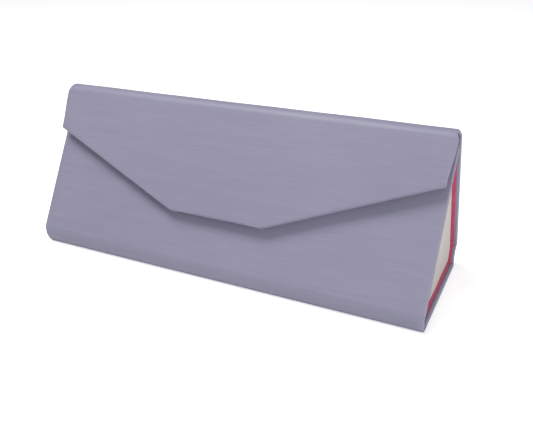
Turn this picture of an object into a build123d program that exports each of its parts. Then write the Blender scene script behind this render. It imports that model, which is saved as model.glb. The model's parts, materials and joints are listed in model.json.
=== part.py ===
from build123d import *
import math
import os

# Foldable triangular eyeglasses case, lying on its bottom panel with the flap closed.
# The section is drawn in the Y-Z plane, with Y to the back and Z up, and runs along X.

# Overall sizes (mm, degrees)
case_length = 165.0
bottom_depth = 49.5
back_length = 55.5
flap_length = 41.9
flap_side_length = 16.4
flap_end_inset = 1.1       # the flap is this much shorter at each end than the panels
flap_tip_half_width = 20.0

# Directions from the first hinge line of each panel; the back's follows from where the flap lies
front_strip_angle = 104.0
front_angle = 59.5
rear_strip_angle = 75.0

# Hinge strips
front_strip_chord = 7.9
front_strip_radius = 4.8
rear_strip_length = 9.55
fold_radius = 4.0

# Layers
cover_thickness = 0.6
board_thickness = 1.2
lining_thickness = 0.5
turned_edge = 1.0          # width of the cover turned round each board's edge
strip_end_inset = 1.5      # hinge strips stop short of the panel ends

# Clearances
hinge_setback = 0.45       # from a hinge line to the cover of a strip
fold_setback = 0.7         # the same at the tight top fold
panel_setback = 1.5        # from a hinge line to a boarded panel
bottom_front_setback = 4.4  # the same where the front strip folds in over the bottom
fold_panel_setback = 1.2   # the same beside the top fold
gusset_clearance = 0.4     # gusset edge to the moving panels
flap_gap = 2.5             # between the closed flap and the front
front_top_clearance = 1.1  # front's top edge to the back's inner face
magnet_clearance = 0.1     # radial, between a magnet and its hole in the board

# Gussets and magnets
gusset_recess = 2.4
gusset_cloth_thickness = 0.5
gusset_lining_thickness = 0.4
magnet_radius = 5.0
magnet_spacing = 26.0
magnet_from_tip = 8.0

panel_thickness = cover_thickness + board_thickness + lining_thickness
strip_thickness = cover_thickness + lining_thickness


def direction(angle):
    """Unit vector (y, z) at an angle from +Y towards +Z."""
    return Vector(math.cos(math.radians(angle)), math.sin(math.radians(angle)))


def normal(angle, side):
    """Unit vector (y, z) across a panel, towards the inside of the case."""
    return Vector(-math.sin(math.radians(angle)), math.cos(math.radians(angle))) * side


def panel_plane(hinge, angle, side):
    """Plane on a panel's outer face: local Y runs along the panel, local Z goes inwards."""
    inward = normal(angle, side)
    return Plane(origin=(0, hinge.X, hinge.Y), x_dir=(side, 0, 0), z_dir=(0, inward.X, inward.Y))


def crossing(point_a, angle_a, point_b, angle_b):
    """Where two lines of the section meet."""
    a, b, gap = direction(angle_a), direction(angle_b), point_b - point_a
    reach = (gap.X * b.Y - gap.Y * b.X) / (a.X * b.Y - a.Y * b.X)
    return point_a + a * reach


def leaning_angle(back_foot, front_foot):
    """Lean of the back that brings the closed flap parallel to the front, at the flap gap."""
    outward = normal(front_angle, 1)
    along = back_length * outward.X + fold_radius * outward.Y
    across = back_length * outward.Y - fold_radius * outward.X
    reach = panel_thickness + flap_gap - fold_radius - (back_foot - front_foot).dot(outward)
    lean = math.atan2(across, along) - math.acos(reach / math.hypot(along, across))
    return math.degrees(lean)


# Hinge lines of the section, as (y, z)
bottom_front = Vector(0, 0)
bottom_rear = Vector(bottom_depth, 0)
front_foot = bottom_front + direction(front_strip_angle) * front_strip_chord
back_foot = bottom_rear + direction(rear_strip_angle) * rear_strip_length
back_angle = leaning_angle(back_foot, front_foot)
back_top = back_foot + direction(back_angle) * back_length
fold_centre = back_top + normal(back_angle, 1) * fold_radius
flap_angle = front_angle + 180.0
fold_start = back_angle - 90.0
fold_end = flap_angle - 90.0
flap_root = fold_centre + direction(fold_end) * fold_radius

# The front is as long as the back's inner face allows
front_inner_foot = front_foot + normal(front_angle, -1) * panel_thickness
back_inner_foot = back_foot + normal(back_angle, 1) * panel_thickness
front_end = crossing(front_inner_foot, front_angle, back_inner_foot, back_angle)
front_length = (front_end - front_inner_foot).length - front_top_clearance


def rectangle(start, end):
    """Outline of a full-length panel between two distances from its hinge line."""
    half = case_length / 2
    return Polyline((-half, start), (half, start), (half, end), (-half, end), close=True)


def flap_outline():
    half = case_length / 2 - flap_end_inset
    return Polyline(
        (-half, fold_panel_setback), (half, fold_panel_setback), (half, flap_side_length),
        (flap_tip_half_width, flap_length), (-flap_tip_half_width, flap_length),
        (-half, flap_side_length), close=True,
    )


def magnet_places(distance):
    return [(-magnet_spacing / 2, distance), (magnet_spacing / 2, distance)]


def discs(places, radius, base, height):
    return [Pos(x, y, base) * Cylinder(radius, height, align=(Align.CENTER, Align.CENTER, Align.MIN))
            for x, y in places]


def panel(plane, outline, magnets=()):
    """Cover tray with turned edges, board and lining, stacked inwards from the outer face."""
    face = make_face(outline)
    inner = offset(face, -turned_edge, kind=Kind.INTERSECTION)
    pocket = Pos(0, 0, cover_thickness) * extrude(inner, panel_thickness)
    cover = extrude(face, panel_thickness) - pocket
    board = Pos(0, 0, cover_thickness) * extrude(inner, board_thickness)
    lining = Pos(0, 0, cover_thickness + board_thickness) * extrude(inner, lining_thickness)
    pieces = {"cover": cover, "board": board, "lining": lining}
    if magnets:
        for hole in discs(magnets, magnet_radius + magnet_clearance, cover_thickness, board_thickness):
            pieces["board"] -= hole
        pieces["magnets"] = Compound(discs(magnets, magnet_radius, cover_thickness, board_thickness))
    return {name: plane * piece for name, piece in pieces.items()}


def flat_strip(plane, length, setback):
    """Boardless hinge strip: cover and lining only."""
    reach = length - 2 * setback
    outline = Pos(0, setback + reach / 2) * Rectangle(case_length - 2 * strip_end_inset, reach)
    cover = extrude(outline, cover_thickness)
    lining = Pos(0, 0, cover_thickness) * extrude(outline, lining_thickness)
    return {"cover": plane * cover, "lining": plane * lining}


def arc_layer(centre, radius, thickness, start, end):
    """Bent sheet between two angles about a line along X."""
    section = Plane(origin=(0, centre.X, centre.Y), x_dir=(0, 1, 0), z_dir=(1, 0, 0))
    outer = CenterArc((0, 0), radius, start, end - start)
    inner = CenterArc((0, 0), radius - thickness, start, end - start)
    edges = [outer, Line(outer @ 1, inner @ 1), inner, Line(inner @ 0, outer @ 0)]
    return extrude(section * make_face(edges), case_length / 2 - strip_end_inset, both=True)


def bent_strip(centre, radius, start, end):
    cover = arc_layer(centre, radius, cover_thickness, start, end)
    lining = arc_layer(centre, radius - cover_thickness, lining_thickness, start, end)
    return {"cover": cover, "lining": lining}


def front_hinge():
    """Strip that bulges forward between the bottom and the front."""
    across = direction(front_strip_angle)
    middle = bottom_front + across * (front_strip_chord / 2)
    depth = math.sqrt(front_strip_radius ** 2 - (front_strip_chord / 2) ** 2)
    centre = middle + normal(front_strip_angle, -1) * depth
    half_angle = math.degrees(math.asin(front_strip_chord / 2 / front_strip_radius))
    gap = math.degrees(hinge_setback / front_strip_radius)
    outward = front_strip_angle + 90.0
    return bent_strip(centre, front_strip_radius, outward - half_angle + gap, outward + half_angle - gap)


def top_hinge():
    gap = math.degrees(fold_setback / fold_radius)
    return bent_strip(fold_centre, fold_radius, fold_start + gap, fold_end - gap)


def gussets():
    """Soft end walls, standing on the bottom's lining and clear of the moving panels."""
    depth = panel_thickness + gusset_clearance
    floor = bottom_front + Vector(0, panel_thickness)
    front = front_foot + normal(front_angle, -1) * depth
    rear = bottom_rear + normal(rear_strip_angle, 1) * (strip_thickness + gusset_clearance)
    back = back_foot + normal(back_angle, 1) * depth
    front_corner = floor + Vector(bottom_front_setback, 0)
    corners = [
        front_corner,
        crossing(floor, 0, rear, rear_strip_angle),
        crossing(rear, rear_strip_angle, back, back_angle),
        crossing(back, back_angle, front, front_angle),
        crossing(front, front_angle, front_corner, 90),
    ]
    outer_face = case_length / 2 - gusset_recess
    outline = make_face(Polyline([(0, corner.X, corner.Y) for corner in corners], close=True))
    pieces = {}
    for name, side in (("left", -1), ("right", 1)):
        layer_face = outer_face
        for layer, thickness in (("cloth", gusset_cloth_thickness), ("lining", gusset_lining_thickness)):
            middle = layer_face - thickness / 2
            sheet = extrude(outline, thickness / 2, dir=(1, 0, 0), both=True)
            pieces[f"{name}_gusset_{layer}"] = Pos(side * middle, 0, 0) * sheet
            layer_face -= thickness
    return pieces


def case():
    magnet_on_flap = flap_length - magnet_from_tip
    magnet_point = flap_root + direction(flap_angle) * magnet_on_flap
    magnet_on_front = (magnet_point - front_foot).dot(direction(front_angle))
    groups = {
        "bottom": panel(
            panel_plane(bottom_front, 0, 1),
            rectangle(bottom_front_setback, bottom_depth - panel_setback)),
        "front_hinge": front_hinge(),
        "front": panel(
            panel_plane(front_foot, front_angle, -1),
            rectangle(panel_setback, front_length), magnet_places(magnet_on_front)),
        "rear_hinge": flat_strip(
            panel_plane(bottom_rear, rear_strip_angle, 1), rear_strip_length, hinge_setback),
        "back": panel(
            panel_plane(back_foot, back_angle, 1),
            rectangle(panel_setback, back_length - fold_panel_setback)),
        "top_hinge": top_hinge(),
        "flap": panel(
            panel_plane(flap_root, flap_angle, 1), flap_outline(), magnet_places(magnet_on_flap)),
    }
    nodes = {f"{group}_{layer}": piece for group, pieces in groups.items() for layer, piece in pieces.items()}
    nodes.update(gussets())
    return nodes


def main():
    os.makedirs("parts", exist_ok=True)
    nodes = case()
    box = Compound(list(nodes.values())).bounding_box()
    centre = Pos(0, -box.center().Y, -box.min.Z)
    for name, piece in nodes.items():
        export_step(centre * piece, f"parts/{name}.step")


main()
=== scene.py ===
import json
import math

import bpy
from mathutils import Matrix, Vector


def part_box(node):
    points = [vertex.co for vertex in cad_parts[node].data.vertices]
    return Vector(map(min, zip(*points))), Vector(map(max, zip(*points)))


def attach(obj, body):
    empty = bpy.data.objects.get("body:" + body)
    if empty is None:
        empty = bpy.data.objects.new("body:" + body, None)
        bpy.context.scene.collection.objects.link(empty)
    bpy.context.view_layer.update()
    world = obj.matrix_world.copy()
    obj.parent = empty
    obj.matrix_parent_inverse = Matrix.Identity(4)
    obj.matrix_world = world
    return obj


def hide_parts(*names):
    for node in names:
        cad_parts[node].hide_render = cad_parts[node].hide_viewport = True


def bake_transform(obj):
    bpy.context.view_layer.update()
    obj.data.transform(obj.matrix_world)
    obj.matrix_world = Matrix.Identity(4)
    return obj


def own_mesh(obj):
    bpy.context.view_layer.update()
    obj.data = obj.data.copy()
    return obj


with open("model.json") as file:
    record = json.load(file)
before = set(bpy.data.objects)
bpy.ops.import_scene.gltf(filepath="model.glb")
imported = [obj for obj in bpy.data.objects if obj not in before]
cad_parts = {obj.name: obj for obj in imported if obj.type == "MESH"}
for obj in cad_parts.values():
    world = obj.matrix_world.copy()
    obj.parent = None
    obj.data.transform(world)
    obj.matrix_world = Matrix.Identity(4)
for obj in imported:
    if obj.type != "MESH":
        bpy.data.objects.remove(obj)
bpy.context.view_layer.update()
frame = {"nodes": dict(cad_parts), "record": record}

# Sizes in millimetres and degrees, in the section's plane: Y to the back, Z up
MM = 0.001
HALF_LENGTH = 82.5
BOTTOM_DEPTH = 49.5
PANEL_SETBACK = 1.5
FRONT_STRIP_CHORD = 7.9
FRONT_STRIP_ANGLE = 104.0
FRONT_STRIP_RADIUS = 8.0    # flatter than the CAD strip, which bulges further
FRONT_ANGLE = 59.5
FRONT_LENGTH = 58.0
REAR_STRIP_ANGLE = 75.0
REAR_STRIP_LENGTH = 9.55
BACK_ANGLE = 111.94
BACK_LENGTH = 55.5
FOLD_RADIUS = 4.0
FLAP_LENGTH = 41.9
FLAP_SIDE_LENGTH = 16.4
FLAP_TIP_HALF_WIDTH = 20.0
FLAP_TAPER = 1.1            # the flap is this much narrower at each side than the panels
PANEL_THICKNESS = 2.3
STRIP_THICKNESS = 1.3
BOARD_EDGE = 1.5            # over this length a boarded panel thins down to its strip
EDGE_ROUND = 0.6            # radius of the cover where it turns round an edge
TURNED_EDGE = 1.15          # width of cover showing inside an edge
SKIN = 0.35                 # thickness of the covering sheet
LINING = 0.3
STRIP_PULL = 0.8            # how far the ends of the top fold draw in
FRONT_PULL = 0.3            # share of that at the front strip
REAR_PULL = 0.35            # share of that at the rear strip
PULL_SHAPE = 0.7            # power that gives the drawn-in ends their rounded line
FRONT_BOW = 0.5             # how far the front swells outwards
GUSSET_RECESS = 2.4
GUSSET_LAYER = 0.35
GUSSET_HOLLOW = 0.9
COLUMNS = 56                # grid columns along a cover, between its turned edges
UNDERSIDE = 0.5             # below this height a cover lies flat on the table
SMOOTH_ANGLE = 50.0         # faces that meet more sharply than this keep a crisp edge
EVEN_SPACING = 0.35         # share of a panel's row spacing that is even, not crowded to its ends
WAVE, RIPPLE = 0.06, 0.03   # heights of a glued cover's long and short unevenness
LINING_LIFT = 0.02          # a hinge lining's face stands this far above strip and panels
PANEL_STEPS, HALF_PANEL_STEPS, FLAP_STEPS, LAP_STEPS = 40, 20, 44, 8

# Place of the section in the frame, from the bottom panel's rear edge
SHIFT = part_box("bottom_cover")[1].y / MM - (BOTTOM_DEPTH - PANEL_SETBACK)


def direction(angle):
    return Vector((math.cos(math.radians(angle)), math.sin(math.radians(angle))))


def inward(angle, side):
    return Vector((-math.sin(math.radians(angle)), math.cos(math.radians(angle)))) * side


# Hinge lines of the section
bottom_front = Vector((0.0, 0.0))
bottom_middle = Vector((BOTTOM_DEPTH / 2, 0.0))
bottom_rear = Vector((BOTTOM_DEPTH, 0.0))
front_foot = bottom_front + direction(FRONT_STRIP_ANGLE) * FRONT_STRIP_CHORD
front_top = front_foot + direction(FRONT_ANGLE) * FRONT_LENGTH
back_foot = bottom_rear + direction(REAR_STRIP_ANGLE) * REAR_STRIP_LENGTH
back_middle = back_foot + direction(BACK_ANGLE) * (BACK_LENGTH / 2)
back_top = back_foot + direction(BACK_ANGLE) * BACK_LENGTH
fold_centre = back_top + inward(BACK_ANGLE, 1) * FOLD_RADIUS
flap_angle = FRONT_ANGLE + 180.0
flap_root = fold_centre + direction(flap_angle - 90) * FOLD_RADIUS
strip_half_angle = math.degrees(math.asin(FRONT_STRIP_CHORD / 2 / FRONT_STRIP_RADIUS))
strip_depth = math.sqrt(FRONT_STRIP_RADIUS ** 2 - (FRONT_STRIP_CHORD / 2) ** 2)
strip_centre = (bottom_front + front_foot) / 2 + inward(FRONT_STRIP_ANGLE, -1) * strip_depth


def in_frame(point, x=0.0):
    """A point of the section, in the frame's metres."""
    return Vector((x, point.x + SHIFT, point.y)) * MM


# --- Section rows -------------------------------------------------------------------------------

class Row:
    """One line of a sheet along X: its place and inward normal, half width and edge depth."""

    def __init__(self, point, normal, board=1.0, pull=0.0):
        self.point, self.normal = point, normal
        self.depth = STRIP_THICKNESS + (PANEL_THICKNESS - STRIP_THICKNESS) * board
        self.half = HALF_LENGTH - STRIP_PULL * pull
        self.slant = 1.0
        self.sunk = 0.0


def smooth(value):
    value = min(max(value, 0.0), 1.0)
    return value * value * (3 - 2 * value)


def panel_rows(start, end, side, count, soft_start=True, soft_end=True):
    """Rows along a straight boarded panel, closer together where it meets a strip."""
    length = (end - start).length
    along = (end - start) / length
    across = Vector((-along.y, along.x)) * side
    rows = []
    for step in range(count + 1):
        share = step / count
        spread = 0.5 - 0.5 * math.cos(math.pi * share)
        reach = length * (EVEN_SPACING * share + (1 - EVEN_SPACING) * spread)
        board = smooth(reach / BOARD_EDGE) if soft_start else 1.0
        if soft_end:
            board = min(board, smooth((length - reach) / BOARD_EDGE))
        rows.append(Row(start + along * reach, across, board))
    return rows


def strip_rows(start, end, side, first, last, count=10):
    """Rows along part of a flat boardless strip, from one share of its width to another."""
    along = (end - start).normalized()
    across = Vector((-along.y, along.x)) * side
    shares = [first + (last - first) * step / count for step in range(count + 1)]
    return [Row(start.lerp(end, share), across, 0.0, REAR_PULL * math.sin(math.pi * share) ** PULL_SHAPE)
            for share in shares]


def arc_rows(centre, radius, first, last, ends, board=0.0, pull=1.0, count=12):
    """Rows round a bent strip between two angles; ends are the angles of the whole strip."""
    rows = []
    for step in range(count + 1):
        angle = first + (last - first) * step / count
        share = min(max((angle - ends[0]) / (ends[1] - ends[0]), 0.0), 1.0)
        outward = direction(angle)
        drawn = pull * math.sin(math.pi * share) ** PULL_SHAPE
        rows.append(Row(centre + outward * radius, -outward, board, drawn))
    return rows


def joined(*runs):
    """Runs of rows end to end, with the normals averaged where two runs meet."""
    rows = list(runs[0])
    for run in runs[1:]:
        meeting = rows[-1]
        meeting.normal = (meeting.normal + run[0].normal).normalized()
        rows.extend(run[1:])
    return rows


def edge_steps(depth):
    """(inset, depth) steps of a sheet that turns round an edge and back along the inside."""
    turns = [math.radians(angle) for angle in (0, 30, 60, 90)]
    outer = [(EDGE_ROUND * (1 - math.sin(a)), EDGE_ROUND * (1 - math.cos(a))) for a in turns]
    inner = [(inset, depth - sunk) for inset, sunk in reversed(outer)]
    return outer + inner + [(TURNED_EDGE, depth)]


def with_free_edge(rows):
    """Rows with the sheet turned round its last edge."""
    last = rows[-1]
    along = (last.point - rows[-2].point).normalized()
    base = last.point
    last.point = base - along * EDGE_ROUND
    for inset, sunk in edge_steps(last.depth)[1:]:
        row = Row(base - along * inset, last.normal)
        row.half, row.slant, row.sunk = last.half, last.slant, sunk
        rows.append(row)
    return rows


# --- Mesh pieces, with the usual operators ------------------------------------------------------

def deselect():
    if bpy.context.mode != "OBJECT":
        bpy.ops.object.mode_set(mode="OBJECT")
    bpy.ops.object.select_all(action="DESELECT")


def new_grid(name, across, along):
    """A grid primitive whose vertices are returned by column and row."""
    deselect()
    bpy.ops.mesh.primitive_grid_add(x_subdivisions=across - 1, y_subdivisions=along - 1, size=2)
    piece = bpy.context.object
    piece.name = piece.data.name = name
    places = {}
    for vertex in piece.data.vertices:
        column = round((vertex.co.x + 1) / 2 * (across - 1))
        row = round((vertex.co.y + 1) / 2 * (along - 1))
        places[column, row] = vertex
    return piece, places


def facing(piece, outward, near):
    """Turns the faces of a sheet so that it faces outward at a point."""
    piece.data.update()
    middle = min(piece.data.polygons, key=lambda face: (face.center - near).length)
    if middle.normal.dot(outward) < 0:
        deselect()
        piece.select_set(True)
        bpy.context.view_layer.objects.active = piece
        bpy.ops.object.mode_set(mode="EDIT")
        bpy.ops.mesh.select_all(action="SELECT")
        bpy.ops.mesh.flip_normals()
        bpy.ops.object.mode_set(mode="OBJECT")


def thicken(piece, thickness):
    """Gives a sheet its thickness, away from its outer face."""
    deselect()
    piece.select_set(True)
    bpy.context.view_layer.objects.active = piece
    wall = piece.modifiers.new("wall", "SOLIDIFY")
    wall.thickness = thickness * MM
    wall.offset = -1
    bpy.ops.object.modifier_apply(modifier=wall.name)
    bpy.ops.object.shade_smooth_by_angle(angle=math.radians(SMOOTH_ANGLE))


def wavy(x, point):
    """Small unevenness of a glued cover, in millimetres along the normal."""
    long_wave = math.sin(x * 0.055 + point.y * 0.09) * math.sin(point.x * 0.11 + 0.7)
    return WAVE * long_wave + RIPPLE * math.sin(x * 0.17 + point.y * 0.21 + 1.9)


def skin(name, rows, bow=0.0):
    """Outer cover over a run of rows, turned round the board's ends at both sides."""
    steps = len(edge_steps(PANEL_THICKNESS)) - 1
    across = COLUMNS + 2 * steps + 1
    piece, places = new_grid(name, across, len(rows))
    for (column, number), vertex in places.items():
        row = rows[number]
        side = -1 if column < across / 2 else 1
        from_side = column if side < 0 else across - 1 - column
        edge = edge_steps(row.depth)
        inset, sunk = edge[max(steps - from_side, 0)]
        half = row.half - inset * row.slant
        x = side * half
        if from_side > steps:
            x = -half + 2 * half * (column - steps) / COLUMNS
        depth = max(sunk, row.sunk)
        if depth == 0:
            depth -= bow * math.sin(math.pi * number / (len(rows) - 1)) * (1 - (x / HALF_LENGTH) ** 4)
            depth += wavy(x, row.point) * (row.point.y > UNDERSIDE)
        vertex.co = in_frame(row.point + row.normal * depth, x)
    middle = rows[len(rows) // 2]
    facing(piece, Vector((0, -middle.normal.x, -middle.normal.y)), in_frame(middle.point))
    thicken(piece, SKIN)
    return piece


def inner_sheet(name, rows):
    """Lining over a boardless strip, lapped on to the linings of the panels beside it."""
    across = 25
    piece, places = new_grid(name, across, len(rows))
    for (column, number), vertex in places.items():
        row = rows[number]
        half = row.half - TURNED_EDGE
        x = -half + 2 * half * column / (across - 1)
        vertex.co = in_frame(row.point + row.normal * (row.depth + LINING_LIFT), x)
    middle = rows[len(rows) // 2]
    facing(piece, Vector((0, middle.normal.x, middle.normal.y)), in_frame(middle.point))
    thicken(piece, LINING)
    return piece


# --- Shaders ------------------------------------------------------------------------------------

class Value:
    """A shader socket that takes part in Python arithmetic."""

    def __init__(self, material, socket):
        self.material, self.socket = material, socket

    def combine(self, operation, first, second):
        return self.material.node("ShaderNodeMath", {"operation": operation}, {0: first, 1: second})

    def __add__(self, other):
        return self.combine("ADD", self, other)

    def __sub__(self, other):
        return self.combine("SUBTRACT", self, other)

    def __rsub__(self, other):
        return self.combine("SUBTRACT", other, self)

    def __mul__(self, other):
        return self.combine("MULTIPLY", self, other)

    __radd__, __rmul__ = __add__, __mul__


class Finish:
    """A procedural material with one Principled shader."""

    def __init__(self, name):
        self.data = bpy.data.materials.new(name)
        self.data.use_nodes = True
        self.tree = self.data.node_tree
        self.shader = self.tree.nodes["Principled BSDF"]
        self.place = Value(self, self.tree.nodes.new("ShaderNodeTexCoord").outputs["Object"])

    def put(self, socket, value):
        if isinstance(value, Value):
            self.tree.links.new(value.socket, socket)
        else:
            socket.default_value = value

    def node(self, kind, settings=None, inputs=None, output=0):
        made = self.tree.nodes.new(kind)
        for key, value in (settings or {}).items():
            setattr(made, key, value)
        for key, value in (inputs or {}).items():
            self.put(made.inputs[key], value)
        return Value(self, made.outputs[output])

    def noise(self, scale, detail=3.0, stretch=(1, 1, 1)):
        place = self.node("ShaderNodeMapping", {}, {"Vector": self.place, "Scale": stretch})
        return self.node("ShaderNodeTexNoise", {}, {"Vector": place, "Scale": scale, "Detail": detail})

    def tint(self, factor, dark, light):
        return self.node("ShaderNodeMix", {"data_type": "RGBA"},
                         {"Factor": factor, 6: (*dark, 1), 7: (*light, 1)}, 2)

    def bump(self, height, distance, strength=1.0):
        return self.node("ShaderNodeBump", {},
                         {"Height": height, "Distance": distance * MM, "Strength": strength})

    def set(self, **sockets):
        for name, value in sockets.items():
            self.put(self.shader.inputs[name.replace("_", " ")], value)
        return self.data


def leatherette():
    """Brushed lilac leatherette: fine streaks along the length on a satin grain."""
    finish = Finish("lilac_leatherette")
    streak = finish.noise(1.0, 4.0, (75, 2600, 2600))
    broad = finish.noise(1.0, 3.0, (24, 620, 620))
    cloud = finish.noise(22.0, 2.0)
    grain = finish.noise(5200.0, 2.0)
    tone = streak * 0.5 + broad * 0.22 + cloud * 0.28
    colour = finish.tint(tone, (0.235, 0.228, 0.328), (0.362, 0.355, 0.476))
    height = streak * 0.8 + grain * 0.35
    return finish.set(Base_Color=colour, Roughness=0.50 + (streak - 0.5) * 0.25,
                      Normal=finish.bump(height, 0.035))


def lining_cloth():
    """Pink lining with a fine woven grain."""
    finish = Finish("pink_lining")
    warp = finish.noise(1.0, 2.0, (420, 2600, 2600))
    weft = finish.noise(1.0, 2.0, (2600, 420, 420))
    weave = warp * 0.5 + weft * 0.5
    colour = finish.tint(weave, (0.50, 0.045, 0.125), (0.80, 0.13, 0.25))
    return finish.set(Base_Color=colour, Roughness=0.82, Normal=finish.bump(weave, 0.06),
                      Sheen_Weight=0.25)


def gusset_cloth():
    """Warm grey coated cloth of the end gussets."""
    finish = Finish("grey_gusset_cloth")
    upright = finish.noise(1.0, 2.0, (900, 2200, 700))
    level = finish.noise(1.0, 2.0, (900, 700, 2200))
    threads = upright * 0.5 + level * 0.5
    cloud = finish.noise(60.0, 2.0)
    colour = finish.tint(threads * 0.5 + cloud * 0.5, (0.56, 0.53, 0.505), (0.70, 0.67, 0.64))
    return finish.set(Base_Color=colour, Roughness=0.78, Normal=finish.bump(threads, 0.04))


def board_stock():
    """Grey board with flecks of fibre."""
    finish = Finish("grey_board")
    fibre = finish.noise(900.0, 5.0)
    colour = finish.tint(fibre, (0.26, 0.24, 0.21), (0.46, 0.43, 0.38))
    return finish.set(Base_Color=colour, Roughness=0.9, Normal=finish.bump(fibre, 0.05))


def nickel():
    """Nickel plate of the magnets."""
    finish = Finish("nickel_plate")
    brushed = finish.noise(1.0, 3.0, (1500, 300, 300))
    return finish.set(Base_Color=finish.tint(brushed, (0.56, 0.55, 0.53), (0.66, 0.65, 0.63)),
                      Metallic=1.0, Roughness=0.25 + brushed * 0.15)


finishes = {
    "leatherette": leatherette(), "lining": lining_cloth(), "gusset_cloth": gusset_cloth(),
    "board": board_stock(), "magnet": nickel(),
}


def dress(piece, slot):
    piece.data.materials.clear()
    piece.data.materials.append(finishes[slot])


for part in frame["record"]["subparts"]:
    node = frame["nodes"][part["node"]]
    node.data.materials.clear()
    node.data.materials.append(finishes[part["material_slot"]])


# --- Covers and hinge linings -------------------------------------------------------------------

BEND = 1.3          # length on each side of a hinge line; bend() finds the two points this far off and then uses neither
LAP = 3.2           # a hinge lining laps this far on to the panels
FOOT_LAP = 6.2      # the same on the bottom's front, whose board stops further back

# Directions in which the sheets pass their hinge lines
foot_bend = (180 + FRONT_STRIP_ANGLE) / 2
front_bend = (FRONT_STRIP_ANGLE + FRONT_ANGLE) / 2
rear_bend = REAR_STRIP_ANGLE / 2
back_bend = (REAR_STRIP_ANGLE + BACK_ANGLE) / 2

strip_ends = (FRONT_STRIP_ANGLE + 90 + strip_half_angle, FRONT_STRIP_ANGLE + 90 - strip_half_angle)
strip_middle = FRONT_STRIP_ANGLE + 90
fold_ends = (BACK_ANGLE - 90, flap_angle - 90)
fold_middle = sum(fold_ends) / 2


def lower_front_arc():
    return arc_rows(strip_centre, FRONT_STRIP_RADIUS, strip_ends[0], strip_middle, strip_ends,
                    board=1.0, pull=FRONT_PULL)


def upper_front_arc():
    return arc_rows(strip_centre, FRONT_STRIP_RADIUS, strip_middle, strip_ends[1], strip_ends,
                    board=1.0, pull=FRONT_PULL)


def rear_fold_arc():
    return arc_rows(fold_centre, FOLD_RADIUS, fold_ends[0], fold_middle, fold_ends)


def front_fold_arc():
    return arc_rows(fold_centre, FOLD_RADIUS, fold_middle, fold_ends[1], fold_ends)


def flap_rows():
    flap_tip = flap_root + direction(flap_angle) * FLAP_LENGTH
    rows = panel_rows(flap_root, flap_tip, 1, FLAP_STEPS, True, False)
    slope = (HALF_LENGTH - FLAP_TAPER - FLAP_TIP_HALF_WIDTH) / (FLAP_LENGTH - FLAP_SIDE_LENGTH)
    corner = min(rows, key=lambda row: abs((row.point - flap_root).length - FLAP_SIDE_LENGTH))
    corner.point = flap_root + direction(flap_angle) * FLAP_SIDE_LENGTH
    for row in rows:
        reach = (row.point - flap_root).length - FLAP_SIDE_LENGTH
        row.half -= FLAP_TAPER * smooth(1 + reach / FLAP_SIDE_LENGTH)
        if reach > 0:
            row.half -= slope * reach
            row.slant = math.hypot(slope, 1)
    return rows


def bend(piece, hinge, angle):
    along = direction(angle) * BEND
    in_frame(hinge - along)
    in_frame(hinge + along)
    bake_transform(piece)


def covers():
    front = with_free_edge(joined(
        upper_front_arc(), panel_rows(front_foot, front_top, -1, PANEL_STEPS, False, False)))
    flap = with_free_edge(joined(front_fold_arc(), flap_rows()))
    runs = [
        ("bottom_cover_front",
         joined(panel_rows(bottom_middle, bottom_front, -1, HALF_PANEL_STEPS, False, False),
                lower_front_arc()),
         "bottom", "front_strip", bottom_front, foot_bend, ["bottom_cover", "front_hinge_cover"]),
        ("front_cover_sheet", front,
         "front_strip", "front", front_foot, front_bend, ["front_cover"]),
        ("bottom_cover_rear", joined(panel_rows(bottom_middle, bottom_rear, 1, HALF_PANEL_STEPS, False),
                                     strip_rows(bottom_rear, back_foot, 1, 0, 0.5)),
         "bottom", "rear_strip", bottom_rear, rear_bend, ["rear_hinge_cover"]),
        ("back_cover_lower", joined(strip_rows(bottom_rear, back_foot, 1, 0.5, 1),
                                    panel_rows(back_foot, back_middle, 1, HALF_PANEL_STEPS, True, False)),
         "rear_strip", "back", back_foot, back_bend, ["back_cover"]),
        ("back_cover_upper",
         joined(panel_rows(back_middle, back_top, 1, HALF_PANEL_STEPS, False), rear_fold_arc()),
         "back", "top_strip", back_top, BACK_ANGLE, ["top_hinge_cover"]),
        ("flap_cover_sheet", flap, "top_strip", "flap", flap_root, flap_angle, ["flap_cover"]),
    ]
    for name, rows, first, second, hinge, angle, replaced in runs:
        piece = skin(name, rows, FRONT_BOW if name == "front_cover_sheet" else 0.0)
        dress(piece, "leatherette")
        bend(piece, hinge, angle)
        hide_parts(*replaced)


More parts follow.
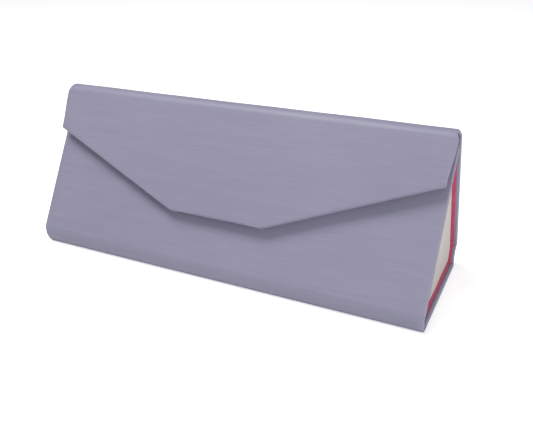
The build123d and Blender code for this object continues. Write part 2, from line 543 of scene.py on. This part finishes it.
def hinge_linings():
    """Boardless lining at each hinge line, in two halves that meet in the middle of the strip."""
    up_front, up_back, down_flap = direction(FRONT_ANGLE), direction(BACK_ANGLE), direction(flap_angle)
    runs = [
        ("front_hinge_lining_lower",
         joined(panel_rows(bottom_front + Vector((FOOT_LAP, 0)), bottom_front,
                           -1, LAP_STEPS, False, False),
                lower_front_arc()),
         "bottom", "front_strip", bottom_front, foot_bend, "front_hinge_lining"),
        ("front_hinge_lining_upper",
         joined(upper_front_arc(),
                panel_rows(front_foot, front_foot + up_front * LAP, -1, LAP_STEPS, False, False)),
         "front_strip", "front", front_foot, front_bend, "front_hinge_lining"),
        ("rear_hinge_lining_lower",
         joined(panel_rows(bottom_rear - Vector((LAP, 0)), bottom_rear, 1, LAP_STEPS, False),
                strip_rows(bottom_rear, back_foot, 1, 0, 0.5)),
         "bottom", "rear_strip", bottom_rear, rear_bend, "rear_hinge_lining"),
        ("rear_hinge_lining_upper",
         joined(strip_rows(bottom_rear, back_foot, 1, 0.5, 1),
                panel_rows(back_foot, back_foot + up_back * LAP, 1, LAP_STEPS, True, False)),
         "rear_strip", "back", back_foot, back_bend, "rear_hinge_lining"),
        ("top_hinge_lining_rear",
         joined(panel_rows(back_top - up_back * LAP, back_top, 1, LAP_STEPS, False), rear_fold_arc()),
         "back", "top_strip", back_top, BACK_ANGLE, "top_hinge_lining"),
        ("top_hinge_lining_front",
         joined(front_fold_arc(),
                panel_rows(flap_root, flap_root + down_flap * LAP, 1, LAP_STEPS, True, False)),
         "top_strip", "flap", flap_root, flap_angle, "top_hinge_lining"),
    ]
    for name, rows, first, second, hinge, angle, replaced in runs:
        piece = inner_sheet(name, rows)
        dress(piece, "lining")
        bend(piece, hinge, angle)
        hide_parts(replaced)


# --- End gussets --------------------------------------------------------------------------------

GUSSET_GAP = 0.3        # between a gusset's edges and the panels
GUSSET_FRONT_LIMIT = -0.6   # a gusset's front edge goes no further forward than this
GUSSET_PEAK = 0.6       # width of a gusset at its top
HOLLOW_SHAPE = 0.8      # power that keeps the hollow broad from bottom to top
GUSSET_RIPPLE = 0.12
LAYER_GAP = 0.05        # between a gusset's cloth and its lining
PLEAT_GAP = 0.2         # the pleat lies this much further in than the two layers' thickness
PLEAT_LIFT = 0.12       # between the pleat and the front's inside
PLEAT_FOOT, PLEAT_TOP = 1.0, 2.0    # left free at the ends of the front
PLEAT_WIDTH = 1.2       # of the pleat at rest, along the case
PLEAT_WALL = 0.1


def gusset_span(z):
    """Front and rear edges of a gusset at a height."""
    up_front, up_back = direction(FRONT_ANGLE), direction(BACK_ANGLE)
    deep = PANEL_THICKNESS + GUSSET_GAP
    front_line = front_foot + inward(FRONT_ANGLE, -1) * deep
    back_line = back_foot + inward(BACK_ANGLE, 1) * deep
    strip_line = bottom_rear + inward(REAR_STRIP_ANGLE, 1) * (STRIP_THICKNESS + GUSSET_GAP)
    up_strip = direction(REAR_STRIP_ANGLE)
    front = max(front_line.x + up_front.x / up_front.y * (z - front_line.y), GUSSET_FRONT_LIMIT)
    back = back_line.x + up_back.x / up_back.y * (z - back_line.y)
    strip = strip_line.x + up_strip.x / up_strip.y * (z - strip_line.y)
    return front, min(back, strip)


def gusset_top():
    """Height where the gusset narrows to its peak."""
    low, high = PANEL_THICKNESS, 2 * FRONT_LENGTH
    for _ in range(40):
        middle = (low + high) / 2
        front, rear = gusset_span(middle)
        low, high = (middle, high) if rear - front > GUSSET_PEAK else (low, middle)
    return low


def gusset_layer(name, side, outer, slot, replaced):
    across, along = 21, 33
    piece, places = new_grid(name, across, along)
    floor, top = PANEL_THICKNESS + LAYER_GAP, gusset_top()
    for (column, number), vertex in places.items():
        share, rise = column / (across - 1), number / (along - 1)
        z = floor + (top - floor) * rise
        front, rear = gusset_span(z)
        hollow = GUSSET_HOLLOW * math.sin(math.pi * share) * math.sin(math.pi * rise) ** HOLLOW_SHAPE
        ripple = GUSSET_RIPPLE * math.sin(9 * share + 4 * rise) * math.sin(math.pi * share)
        x = side * (outer - hollow - ripple)
        vertex.co = in_frame(Vector((front + (rear - front) * share, z)), x)
    centre = in_frame(Vector((BOTTOM_DEPTH / 2, top / 2)), side * outer)
    facing(piece, Vector((side, 0, 0)), centre)
    thicken(piece, GUSSET_LAYER)
    dress(piece, slot)
    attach(piece, "bottom")
    floor * MM
    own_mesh(piece)
    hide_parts(replaced)


def pleat(name, side, outer):
    """Spare cloth behind the front, which on the real case opens as a fan when the mouth opens; here it
    is one fixed flat sheet.
    """
    across, along = 15, 25
    piece, places = new_grid(name, across, along)
    base = front_foot + inward(FRONT_ANGLE, -1) * (PANEL_THICKNESS + PLEAT_LIFT)
    for (column, number), vertex in places.items():
        share, rise = column / (across - 1), number / (along - 1)
        reach = PLEAT_FOOT + (FRONT_LENGTH - PLEAT_FOOT - PLEAT_TOP) * rise
        point = base + direction(FRONT_ANGLE) * reach
        vertex.co = in_frame(point, side * (outer - PLEAT_WIDTH * share))
    centre = in_frame(base + direction(FRONT_ANGLE) * FRONT_LENGTH / 2, side * outer)
    facing(piece, Vector((0, -1, 0)), centre)
    thicken(piece, PLEAT_WALL)
    dress(piece, "gusset_cloth")
    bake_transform(piece)


def gussets():
    for label, side in (("left", -1), ("right", 1)):
        outer = HALF_LENGTH - GUSSET_RECESS
        gusset_layer(f"{label}_gusset_outside", side, outer, "gusset_cloth", f"{label}_gusset_cloth")
        gusset_layer(f"{label}_gusset_inside", side, outer - GUSSET_LAYER - LAYER_GAP, "lining",
                     f"{label}_gusset_lining")
        pleat(f"{label}_gusset_pleat", side, outer - 2 * GUSSET_LAYER - PLEAT_GAP)


covers()
hinge_linings()
gussets()


# --- Floor, light and camera --------------------------------------------------------------------

CAMERA_AZIMUTH, CAMERA_ELEVATION, CAMERA_ROLL = 26.39, 25.10, -0.89
CAMERA_TARGET = in_frame(Vector((20.0, 22.66)), 13.89)
CAMERA_DISTANCE = 0.25003
CAMERA_LENS, CAMERA_SENSOR = 43.23, 36
LAMP_AIM = Vector((0, 0, 0.03))
FLOOR_SIZE, FLOOR_DROP = 6, 0.0002      # the floor lies just under the case
FLOOR_GLOW = (0.55, 0.55, 0.55)
ROOM_LIGHT = (0.28, 0.28, 0.295, 1)
BACKDROP = (1, 0.995, 0.99, 1)


def surroundings():
    deselect()
    bpy.ops.mesh.primitive_plane_add(size=FLOOR_SIZE, location=(0, 0, -FLOOR_DROP))
    floor = bpy.context.object
    floor.name = "floor"
    finish = Finish("pale_floor")
    seen = finish.node("ShaderNodeLightPath", {}, {}, "Is Camera Ray")
    finish.set(Base_Color=(0.93, 0.925, 0.92, 1), Roughness=0.9,
               Emission_Color=finish.tint(seen, (0, 0, 0), FLOOR_GLOW), Emission_Strength=1.0)
    floor.data.materials.append(finish.data)

    world = bpy.data.worlds.new("studio")
    bpy.context.scene.world = world
    world.use_nodes = True
    tree = world.node_tree
    glow = tree.nodes["Background"]
    path = tree.nodes.new("ShaderNodeLightPath")
    mix = tree.nodes.new("ShaderNodeMix")
    mix.data_type = "RGBA"
    mix.inputs[6].default_value = ROOM_LIGHT
    mix.inputs[7].default_value = BACKDROP
    tree.links.new(path.outputs["Is Camera Ray"], mix.inputs["Factor"])
    tree.links.new(mix.outputs[2], glow.inputs["Color"])


def lamp(name, location, size, power, colour):
    data = bpy.data.lights.new(name, "AREA")
    data.shape = "DISK"
    data.size, data.energy, data.color = size, power, colour
    light = bpy.data.objects.new(name, data)
    bpy.context.collection.objects.link(light)
    light.location = location
    towards = LAMP_AIM - light.location
    light.rotation_euler = towards.to_track_quat("-Z", "Y").to_euler()


def camera():
    """Three-quarter view from the front right."""
    azimuth, elevation = math.radians(CAMERA_AZIMUTH), math.radians(CAMERA_ELEVATION)
    roll = math.radians(CAMERA_ROLL)
    back = Vector((math.sin(azimuth) * math.cos(elevation), -math.cos(azimuth) * math.cos(elevation),
                   math.sin(elevation)))
    level = Vector((0, 0, 1)).cross(back).normalized()
    above = back.cross(level)
    right = level * math.cos(roll) + above * math.sin(roll)
    up = above * math.cos(roll) - level * math.sin(roll)
    turn = Matrix((right, up, back)).transposed().to_4x4()
    data = bpy.data.cameras.new("camera")
    data.lens, data.sensor_width = CAMERA_LENS, CAMERA_SENSOR
    data.clip_start = 0.01
    shot = bpy.data.objects.new("camera", data)
    bpy.context.collection.objects.link(shot)
    shot.matrix_world = Matrix.Translation(CAMERA_TARGET + back * CAMERA_DISTANCE) @ turn
    bpy.context.scene.camera = shot


surroundings()
lamp("overhead", (-0.25, -0.2, 0.9), 0.45, 5.9, (1.0, 0.98, 0.96))
lamp("end_fill", (1.0, -0.35, 0.3), 0.6, 4.6, (1.0, 0.99, 0.98))
camera()
bpy.context.scene.view_settings.view_transform = "Standard"
